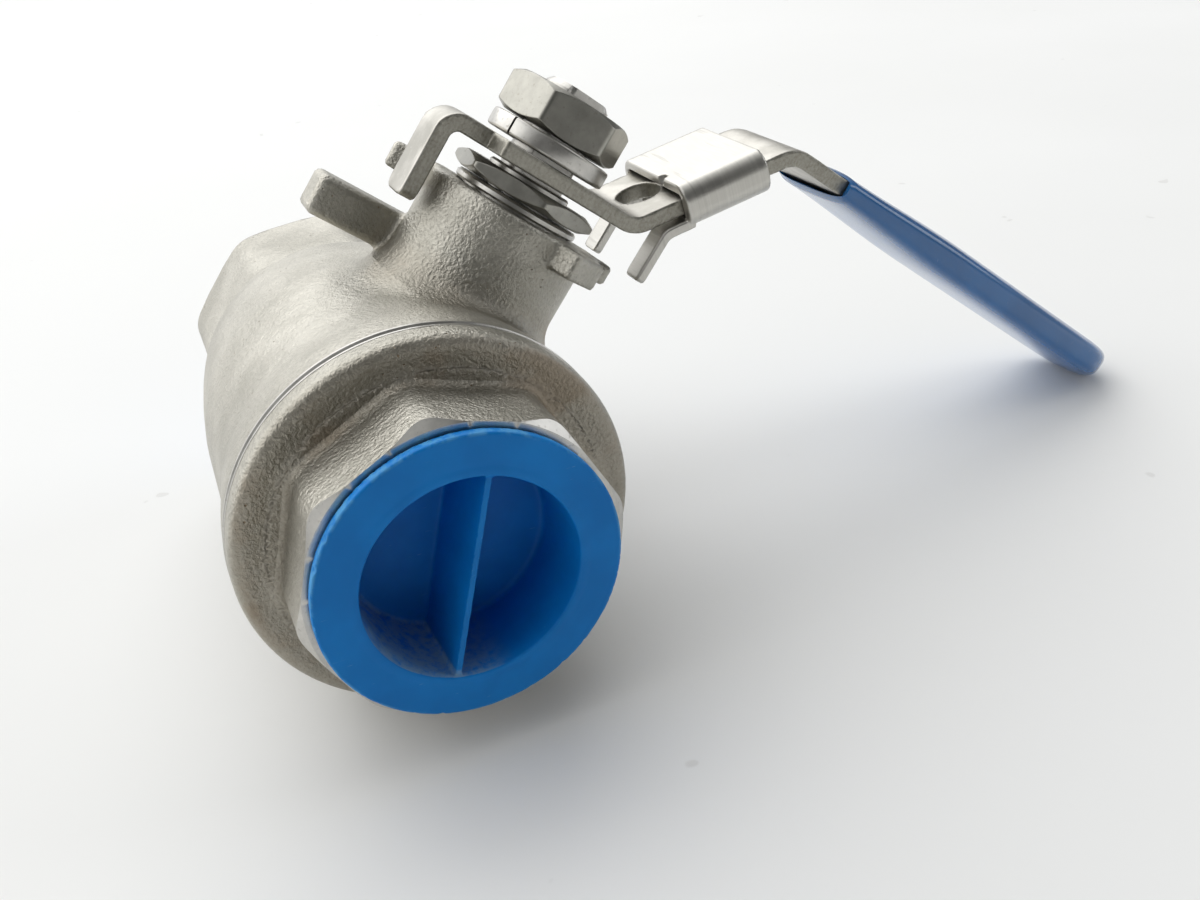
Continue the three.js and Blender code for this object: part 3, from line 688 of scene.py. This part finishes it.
# Lever: one bent strip with a hook at one end.
leverSize = {"hookX": -15.95, "hookEnd": 32.8, "plateZ": 45.4, "riseX": 14.1, "riseLength": 27.6,
             "gripDeg": 1.4, "end": 114, "bends": (2.5, 4.2, 5.2), "thick": 2.5, "halfWide": 8.7, "hookHalf": 3.3,
             "stepX": -9.4, "lockHole": 3.5, "lockHoleAt": 5.0, "driveHole": 5.3, "driveFlats": 4.0,
             "cell": 0.45}
gripAngle = math.radians(leverSize["gripDeg"])
riseTop = (leverSize["riseX"] + leverSize["riseLength"] * math.cos(riseAngle),
           leverSize["plateZ"] + leverSize["riseLength"] * math.sin(riseAngle))


def bentLine(corners, radii):
    # straight runs and arcs of the strip's middle, each with how far along the strip it starts
    pieces, at, start = [], 0.0, np.array(corners[0], float)
    for i in range(1, len(corners)):
        here = np.array(corners[i], float)
        way = (here - np.array(corners[i - 1], float))
        way /= np.hypot(*way)
        if i < len(corners) - 1:
            after = np.array(corners[i + 1], float) - here
            after /= np.hypot(*after)
            turn = math.atan2(way[0] * after[1] - way[1] * after[0], way @ after)
            back = radii[i - 1] * math.tan(abs(turn) / 2)
        else:
            turn, back = 0.0, 0.0
        end = here - way * back
        length = np.hypot(*(end - start))
        pieces.append(("run", start, way, length, at))
        at += length
        if turn:
            side = math.copysign(1, turn)
            hub = end + side * radii[i - 1] * np.array([-way[1], way[0]])
            pieces.append(("arc", hub, end - hub, turn, at))
            at += radii[i - 1] * abs(turn)
            start = here + after * back
    return pieces, at


def alongStrip(pieces, x, z):
    # how far along the strip and how far above its middle a point lies
    best = np.full(np.broadcast(x, z).shape, 1e9)
    along, above = np.zeros_like(best), np.zeros_like(best)
    for kind, a, b, c, at in pieces:
        if kind == "run":
            t = (x - a[0]) * b[0] + (z - a[1]) * b[1]
            side = -(x - a[0]) * b[1] + (z - a[1]) * b[0]
            over = np.maximum(np.maximum(-t, t - c), 0)
        else:
            radius = np.hypot(*b)
            turn = math.copysign(1, c)
            angle = np.mod(turn * (np.arctan2(z - a[1], x - a[0]) - math.atan2(b[1], b[0])) + math.pi,
                           2 * math.pi) - math.pi
            t = angle * radius
            side = turn * (radius - np.hypot(x - a[0], z - a[1]))
            over = np.maximum(np.maximum(-t, t - radius * abs(c)), 0)
        far = np.hypot(over, side)
        closer = far < best
        best = np.where(closer, far, best)
        along = np.where(closer, at + t, along)
        above = np.where(closer, side, above)
    return along, above


leverCorners = [(leverSize["hookX"], leverSize["hookEnd"]), (leverSize["hookX"], leverSize["plateZ"]),
                (leverSize["riseX"], leverSize["plateZ"]), riseTop,
                (leverSize["end"], riseTop[1] + (leverSize["end"] - riseTop[0]) * math.tan(gripAngle))]
strip, stripLength = bentLine(leverCorners, leverSize["bends"])
stepAt = float(alongStrip(strip, np.array(leverSize["stepX"]), np.array(leverSize["plateZ"]))[0])
driveAt = float(alongStrip(strip, np.array(0.0), np.array(leverSize["plateZ"]))[0])
holeX = leverSize["riseX"] + leverSize["lockHoleAt"] * math.cos(riseAngle)
holeZ = leverSize["plateZ"] + leverSize["lockHoleAt"] * math.sin(riseAngle)
lockHoleAlong = float(alongStrip(strip, np.array(holeX), np.array(holeZ))[0])


def leverStrip(x, y, z):
    size = leverSize
    s, above = alongStrip(strip, x, z)
    hook = smoothMax(np.abs(y) - size["hookHalf"], -s, 1.6)
    hook = both(hook, s - stepAt - 1)
    wide = smoothMax(np.abs(y) - size["halfWide"], both(stepAt - s, s - stripLength), 0.6)
    outline = smoothMin(hook, wide, 0.5)
    lockHole = size["lockHole"] - np.hypot(s - lockHoleAlong, y)
    drive = -both(np.hypot(s - driveAt, y) - size["driveHole"], np.abs(y) - size["driveFlats"])
    outline = both(outline, lockHole, drive)
    plate = np.abs(above) - size["thick"] / 2
    return smoothMax(plate, outline, 0.35)


def leverFinish(x, y, z):
    # the stamped edges are sheared, and the flats are rolled
    s, above = alongStrip(strip, x, z)
    return np.abs(above) < leverSize["thick"] / 2 - 0.14


solid = fieldMesh(leverStrip, (-18, -9.3, 32.2), (115, 9.3, 71.5), leverSize["cell"])
pieceFrom("lever_strip", solid, ["sheet", "sheared"], "operator", ["lever"],
          leverFinish)


# Lock: a folded sheet that slides on the rise, with two prongs.
sliderSize = {"low": 7.8, "high": 21.8, "halfWide": 10.55, "top": 3.42, "bottom": -3.32, "corner": 2.7,
              "slotHalfWide": 9.0, "slotHalf": 1.85, "prongY": 7.85, "prongHalf": 1.95, "prongEnd": 39.0,
              "prongThick": 1.5, "prongOut": 2.9, "prongBend": 2.2, "cell": 0.36}


def lockSlider(x, y, z):
    size = sliderSize
    u = (x - leverSize["riseX"]) * math.cos(riseAngle) + (z - leverSize["plateZ"]) * math.sin(riseAngle)
    w = -(x - leverSize["riseX"]) * math.sin(riseAngle) + (z - leverSize["plateZ"]) * math.cos(riseAngle)
    middle, half = (size["low"] + size["high"]) / 2, (size["high"] - size["low"]) / 2
    level, deep = (size["top"] + size["bottom"]) / 2, (size["top"] - size["bottom"]) / 2
    section = roundBox(0 * u, y, w - level, (9, size["halfWide"], deep), size["corner"])
    shell = smoothMax(section, np.abs(u - middle) - half, 0.5)
    slot = smoothMax(np.abs(y) - size["slotHalfWide"], np.abs(w) - size["slotHalf"], 0.8)
    shell = smoothMax(shell, -slot, 0.3)
    # a small tear left by the shear at the lower edge of the top face
    tear = np.sqrt(((u - size["low"]) / 1.1) ** 2 + ((y + 3.4) / 0.8) ** 2 + ((w - size["top"]) / 1.3) ** 2) - 1
    shell = smoothMax(shell, -tear, 0.25)
    tailMiddle = size["bottom"] + size["prongThick"] / 2
    startX = leverSize["riseX"] + (size["low"] + 1) * math.cos(riseAngle) - tailMiddle * math.sin(riseAngle)
    startZ = leverSize["plateZ"] + (size["low"] + 1) * math.sin(riseAngle) + tailMiddle * math.cos(riseAngle)
    prongX, bendZ = startX - size["prongOut"], startZ - size["prongOut"] * math.tan(riseAngle)
    tail, tailLength = bentLine([(startX, startZ), (prongX, bendZ), (prongX, size["prongEnd"])],
                                (size["prongBend"],))
    s, above = alongStrip(tail, x, z)
    prong = smoothMax(np.abs(np.abs(y) - size["prongY"]) - size["prongHalf"], s - tailLength, 0.8)
    prong = smoothMax(both(prong, -s), np.abs(above) - size["prongThick"] / 2, 0.35)
    return smoothMin(shell, prong, 0.35)


solid = fieldMesh(lockSlider, (14, -11.2, 38.4), (33, 11.2, 66.5), sliderSize["cell"])
pieceFrom("lock_slider_sheet", solid, ["brushed"], "lock", ["lock_slider"])


# Turned and hexagon pieces about the stem.
stemSize = {"radius": 5.0, "top": 57.5, "flats": 7.4, "flatsFrom": 43.2}
nutSize = {"flats": 17, "low": 50.3, "high": 56.2, "cornerDeg": 167.7, "hole": 5.2}
glandSize = {"flats": 20, "low": 40.4, "high": 42.9, "cornerDeg": 24, "hole": 5.4, "boss": 6.4, "bossTop": 43.7}
bushSize = {"hole": 5.3, "skirt": 8.2, "low": 32.3, "collar": 9.7, "collarLow": 38.9, "top": 40.1}


def hexagonRings(size, hole, face, slopeDeg):
    # chamfered both ends, so each flat is bounded by two arcs
    edge = manySided(6, size["flats"], size["cornerDeg"], size["flats"] / math.sqrt(3) - 0.14, 0.12)
    fall = math.tan(math.radians(slopeDeg))

    def end(level, up):
        # from the hole's edge out over the chamfer; up is 1 at the low end and -1 at the high one
        return [(hole, level + up * 0.3), (hole + 0.5, level), (face, level),
                (lambda a: edge(a) - 0.05, lambda a: level + up * ((edge(a) - face) * fall - 0.05)),
                (edge, lambda a: level + up * ((edge(a) - face) * fall + 0.04))]
    return end(size["low"], 1) + end(size["high"], -1)[::-1]


def flattened(radius):
    # a round bar with two flats across y
    half = stemSize["flats"] / 2
    return lambda a: np.minimum(radius, half / np.maximum(np.abs(np.sin(a)), 1e-3))


ringPiece("handle_nut_hexagon", hexagonRings(nutSize, nutSize["hole"], 8.25, 30), "dark", "operator",
          ["handle_nut"])
ringPiece("gland_nut_hexagon", hexagonRings(glandSize, glandSize["hole"], 9.65, 27), "dark", "operator",
          ["gland_nut"])
hole, boss, top = glandSize["hole"], glandSize["boss"], glandSize["bossTop"]
ringPiece("gland_nut_boss", [(hole, top - 1.2), (hole, top - 0.2), (hole + 0.2, top), (boss - 0.3, top),
                             (boss, top - 0.3), (boss, top - 1.2)], "spun", "operator", [])
hole, skirt, collar = bushSize["hole"], bushSize["skirt"], bushSize["collar"]
low, collarLow, top = bushSize["low"], bushSize["collarLow"], bushSize["top"]
ringPiece("gland_bush_turned", [(hole, low), (skirt, low), (skirt + 0.1, collarLow), (collar - 0.35, collarLow),
                                (collar, collarLow + 0.3), (collar, top - 0.35), (collar - 0.35, top),
                                (hole + 0.3, top), (hole, top - 0.3)], "spun", "valve_body",
          ["gland_bush"])
radius, flatsFrom, top = stemSize["radius"], stemSize["flatsFrom"], stemSize["top"]
ringPiece("stem_bar", [(0.0, 15.8), (2.9, 15.8), (2.9, 19.6), (6.7, 19.6), (7.0, 19.9), (7.0, 21.2), (6.6, 21.7),
                       (radius, 21.7), (radius, flatsFrom), (flattened(radius), flatsFrom),
                       (flattened(radius), top - 0.7), (flattened(radius - 0.7), top), (0.0, top)], "spun",
          "operator", ["stem"], closed=False)


# Pieces that follow a path are Geometry Nodes trees, each run once and kept as a mesh.
def nodeTree(name, inputs):
    tree = bpy.data.node_groups.new(name, "GeometryNodeTree")
    sockets = {}
    for title, value in inputs.items():
        made = tree.interface.new_socket(title, in_out="INPUT", socket_type="NodeSocketInt"
                                         if isinstance(value, int) else "NodeSocketFloat")
        sockets[title] = made.identifier
    tree.interface.new_socket("Geometry", in_out="OUTPUT", socket_type="NodeSocketGeometry")
    graph = Graph(tree)
    entry = tree.nodes.new("NodeGroupInput")
    wires = {title: Wire(graph, entry.outputs[title]) for title in inputs}
    return tree, graph, sockets, wires


def closeTree(graph, geometry, material):
    real = graph.node("GeometryNodeRealizeInstances", {}, {"Geometry": geometry})
    painted = graph.node("GeometryNodeSetMaterial", {}, {"Geometry": real, "Material": finishes[material]})
    end = graph.tree.nodes.new("NodeGroupOutput")
    graph.feed(end.inputs[0], painted)


def grown(name, tree, sockets, values, place, body, nodes, sharp=35):
    # runs a tree once and keeps its result as a plain mesh
    holder = bpy.data.objects.new(name + "_holder", bpy.data.meshes.new(name + "_holder"))
    bpy.context.scene.collection.objects.link(holder)
    modifier = holder.modifiers.new("grow", "NODES")
    modifier.node_group = tree
    for title, value in values.items():
        modifier[sockets[title]] = value
    graphNow = bpy.context.evaluated_depsgraph_get()
    mesh = bpy.data.meshes.new_from_object(holder.evaluated_get(graphNow))
    bpy.data.objects.remove(holder)
    mesh.name = name
    mesh.transform(place)
    weld(mesh, 1e-6)
    return finishPiece(name, mesh, body, nodes, sharp)


# Pipe threads: a ridge with sloping flanks wound along a helix, at both pipe ends.
pipeThread = {"Radius": 16.62, "Pitch": 2.309, "Turns": 6.2, "Flank": 1.17}


def threadTree():
    tree, graph, sockets, wire = nodeTree("wound thread", pipeThread)
    helix = graph.node("GeometryNodeCurveSpiral", {}, {
        "Resolution": 72, "Rotations": wire["Turns"], "Start Radius": wire["Radius"],
        "End Radius": wire["Radius"], "Height": wire["Turns"] * wire["Pitch"]})
    upright = graph.node("GeometryNodeSetCurveNormal", {"mode": "Z_UP"}, {"Curve": helix})
    ridge = graph.node("GeometryNodeCurvePrimitiveCircle", {"mode": "RADIUS"},
                       {"Resolution": 4, "Radius": wire["Flank"]})
    wound = graph.node("GeometryNodeCurveToMesh", {},
                       {"Curve": upright, "Profile Curve": ridge, "Fill Caps": True})
    closeTree(graph, wound, "turned")
    return tree, sockets


threads, threadSockets = threadTree()
alongPipe = toRow @ Matrix.Rotation(math.radians(-90), 4, "X")
for name, start in (("cap_pipe_thread", capSize["face"] + 1.3), ("body_pipe_thread", bodySize["face"] - 15.8)):
    grown(name, threads, threadSockets, pipeThread, alongPipe @ Matrix.Translation((0, 0, start)),
          "valve_body", [])

# The split spring washer: a square bar rolled almost into a ring, its ends a little apart.
springWasher = {"Radius": 7.3, "Wide": 4.0, "High": 2.6, "Corner": 0.42, "Gap": 0.028}


def washerTree():
    tree, graph, sockets, wire = nodeTree("rolled washer", springWasher)
    ring = graph.node("GeometryNodeCurveArc", {"mode": "RADIUS"}, {
        "Resolution": 96, "Radius": wire["Radius"], "Start Angle": wire["Gap"] * 0.5,
        "Sweep Angle": math.tau - wire["Gap"]}, "Curve")
    section = graph.node("GeometryNodeCurvePrimitiveQuadrilateral", {"mode": "RECTANGLE"},
                         {"Width": wire["Wide"], "Height": wire["High"]})
    section = graph.node("GeometryNodeFilletCurve", {"mode": "POLY"},
                         {"Curve": section, "Radius": wire["Corner"], "Count": 3})
    upright = graph.node("GeometryNodeSetCurveNormal", {"mode": "Z_UP"}, {"Curve": ring})
    bar = graph.node("GeometryNodeCurveToMesh", {},
                     {"Curve": upright, "Profile Curve": section, "Fill Caps": True})
    closeTree(graph, bar, "spun")
    return tree, sockets


washers, washerSockets = washerTree()
grown("spring_washer_split", washers, washerSockets, springWasher,
      toRow @ Matrix.Translation((0, 0, 48.62)) @ Matrix.Rotation(math.radians(207), 4, "Z"),
      "operator", ["spring_washer"])

# The grip: a dipped skin over the strip. Its section is a flattened oval that swells from the
# mouth, and the first rings fold in to make the mouth's wall.
gripSleeve = {"Start": 10.65, "End": 90.0, "Half Width": 10.1, "Half Thick": 3.36, "Mouth Half Thick": 2.42,
              "Pocket Half Width": 9.05, "Pocket Half Thick": 1.6, "Pocket Depth": 7.0, "Full At": 40.0,
              "Rings": 150, "Around": 72}


def gripTree():
    tree, graph, sockets, wire = nodeTree("dipped grip", gripSleeve)
    sheet = graph.node("GeometryNodeMeshGrid", {}, {"Size X": 1.0, "Size Y": 1.0, "Vertices X": wire["Rings"],
                                                    "Vertices Y": wire["Around"]}, "Mesh")
    at = graph.node("GeometryNodeInputPosition", {}, {})
    gx, gy, _ = graph.axes(at)
    u, angle = gx + 0.5, (gy + 0.5) * math.tau
    fold = 0.14
    outer = graph.stretch(u, fold, 1.0, kind="LINEAR")
    inner = graph.stretch(u, fold, 0.02, kind="LINEAR")
    isInner = graph.math("LESS_THAN", u, fold - 0.001)
    span = wire["End"] - wire["Start"]
    s = wire["Start"] + span * graph.math("SINE", outer * (math.pi / 2))
    s = s + wire["Pocket Depth"] * inner * isInner
    swell = graph.stretch(s, wire["Start"], wire["Full At"])
    thick = wire["Mouth Half Thick"] + (wire["Half Thick"] - wire["Mouth Half Thick"]) * swell
    lip = graph.stretch(s, wire["Start"] - 0.1, wire["Start"] + 0.9, 0.72, 1.0)
    tipWay = graph.stretch(s, wire["End"] - wire["Half Width"], wire["End"], kind="LINEAR")
    tipThick = graph.stretch(s, wire["End"] - wire["Half Thick"] * 1.15, wire["End"], kind="LINEAR")
    width = wire["Half Width"] * graph.math("SQRT", graph.math("MAXIMUM", 1 - tipWay ** 2.25, 0.0))
    thick = thick * graph.math("SQRT", graph.math("MAXIMUM", 1 - tipThick ** 2.0, 0.0)) * lip
    closed = graph.stretch(u, 0.0, 0.012, kind="LINEAR")
    width = width * (1 - isInner) + wire["Pocket Half Width"] * closed * isInner
    thick = thick * (1 - isInner) + wire["Pocket Half Thick"] * closed * isInner
    c, sn = graph.math("COSINE", angle), graph.math("SINE", angle)
    power = 0.68 * (1 - isInner) + 0.22 * isInner
    y = width * graph.math("SIGN", c) * graph.math("ABSOLUTE", c) ** power
    z = thick * graph.math("SIGN", sn) * graph.math("ABSOLUTE", sn) ** (power * 0.9)
    shaped = graph.node("GeometryNodeSetPosition", {}, {"Geometry": sheet, "Position": graph.point(s, y, z)})
    welded = graph.node("GeometryNodeMergeByDistance", {}, {"Geometry": shaped, "Distance": 0.002})
    closeTree(graph, welded, "vinyl")
    return tree, sockets


grips, gripSockets = gripTree()
onGrip = toRow @ Matrix.Translation((riseTop[0], 0, riseTop[1])) @ Matrix.Rotation(-gripAngle, 4, "Y")
grown("dipped_grip", grips, gripSockets, gripSleeve, onGrip @ Matrix.Translation((0, 0, -0.1)),
      "operator", ["grip_sleeve"], sharp=60)

# These pieces keep the frame's own shape and are only painted.
keptNodes = {"ball": ["ball"], "ptfe": ["body_gasket", "seat_ring_front", "seat_ring_rear", "thrust_washer",
                                        "packing_ring_lower", "packing_ring_middle", "packing_ring_upper"]}
for finish, nodes in keptNodes.items():
    for node in nodes:
        frame["nodes"][node].data.materials.clear()
        frame["nodes"][node].data.materials.append(finishes[finish])
print("kept nodes painted")


# Table, light and camera.
def paleTable():
    material, graph, shader, here = newFinish("pale table")
    cloud = graph.noise(here, 160, 3, 0.5)
    fleck = graph.stretch(graph.noise(here, 11, 2, 0.6), 0.735, 0.76)
    tone = graph.mix(cloud, (0.80, 0.80, 0.785), (0.86, 0.86, 0.85))
    graph.feed(shader.inputs["Base Color"], graph.mix(fleck * 0.25, tone, (0.45, 0.43, 0.4)))
    graph.feed(shader.inputs["Roughness"], 0.55 + cloud * 0.1)
    shader.inputs["Specular IOR Level"].default_value = 0.3
    return material


floorSize = {"half": 1.6, "height": 0.0}
floorMesh = bpy.data.meshes.new("table_top")
floorMesh.from_pydata([(sx * floorSize["half"], sy * floorSize["half"], floorSize["height"])
                       for sx, sy in ((-1, -1), (1, -1), (1, 1), (-1, 1))], [], [(0, 1, 2, 3)])
floorMesh.materials.append(paleTable())
floorPiece = bpy.data.objects.new("table_top", floorMesh)
bpy.context.scene.collection.objects.link(floorPiece)

lightSetup = {"dim": 0.12, "bright": 1.15, "brightWay": (-0.45, 0.55, 0.55), "window": 4.6, "ceiling": 7.0,
              "fill": 1.8, "backdrop": 0.88}
world = bpy.data.worlds.new("studio")
bpy.context.scene.world = world
world.use_nodes = True
sky = Graph(world.node_tree)
background = world.node_tree.nodes["Background"]
lookWay = sky.node("ShaderNodeTexCoord", {}, {}, "Generated")
brightWay = Vector(lightSetup["brightWay"]).normalized()
lean = sky.dot(lookWay, tuple(brightWay))
skyTone = sky.mix(sky.stretch(lean, -0.05, 0.85), (0.93, 0.94, 0.93), (0.98, 0.99, 1.0))
sky.feed(background.inputs["Color"], skyTone)
# the backdrop itself is plain and pale, and the brighter side only lights the valve
seen = sky.node("ShaderNodeLightPath", {}, {}, "Is Camera Ray")
dome = sky.stretch(lean, 0.0, 0.85, lightSetup["dim"], lightSetup["bright"])
sky.feed(background.inputs["Strength"], dome * (1 - seen) + seen * lightSetup["backdrop"])


def softBox(name, place, towards, size, power, colour=(1, 1, 1)):
    light = bpy.data.lights.new(name, "AREA")
    light.shape, light.size, light.size_y = "RECTANGLE", size[0], size[1]
    light.energy, light.color = power, colour
    lamp = bpy.data.objects.new(name, light)
    lamp.location = place
    lamp.rotation_euler = (Vector(towards) - Vector(place)).to_track_quat("-Z", "Y").to_euler()
    bpy.context.scene.collection.objects.link(lamp)


softBox("window_left", (-0.9, 0.45, 0.7), (0, 0, 0.03), (1.4, 1.2), lightSetup["window"], (1.0, 0.99, 0.97))
softBox("ceiling", (0.05, 0.85, 0.95), (0, 0, 0), (1.5, 1.2), lightSetup["ceiling"])
softBox("fill_right", (0.9, -0.15, 0.45), (0, 0, 0.03), (0.5, 0.7), lightSetup["fill"], (0.95, 0.97, 1.0))
bpy.context.scene.view_settings.view_transform = "Standard"

# The camera stands in front of the end cap on the hook's side, and is tipped over.
cameraSetup = {"place": (-70.12, -154.24, 45.26), "aim": (32.29, -3.69, 12.46), "tip": 31.41, "lens": 34.4,
               "sensor": 36, "near": 0.01, "far": 20}
camera = bpy.data.cameras.new("camera")
camera.lens, camera.sensor_width = cameraSetup["lens"], cameraSetup["sensor"]
camera.clip_start, camera.clip_end = cameraSetup["near"], cameraSetup["far"]
cameraPiece = bpy.data.objects.new("camera", camera)
bpy.context.scene.collection.objects.link(cameraPiece)
eye, aim = valvePoint(*cameraSetup["place"]), valvePoint(*cameraSetup["aim"])
forward = (aim - eye).normalized()
plumb = (stemDir - forward * forward.dot(stemDir)).normalized()
up = Matrix.Rotation(math.radians(cameraSetup["tip"]), 3, -forward) @ plumb
right = forward.cross(up)
cameraPiece.matrix_world = Matrix.Translation(eye) @ Matrix(
    [[right[i], up[i], -forward[i]] for i in range(3)]).to_4x4()
bpy.context.scene.camera = cameraPiece
print("camera at", [round(v, 4) for v in eye])
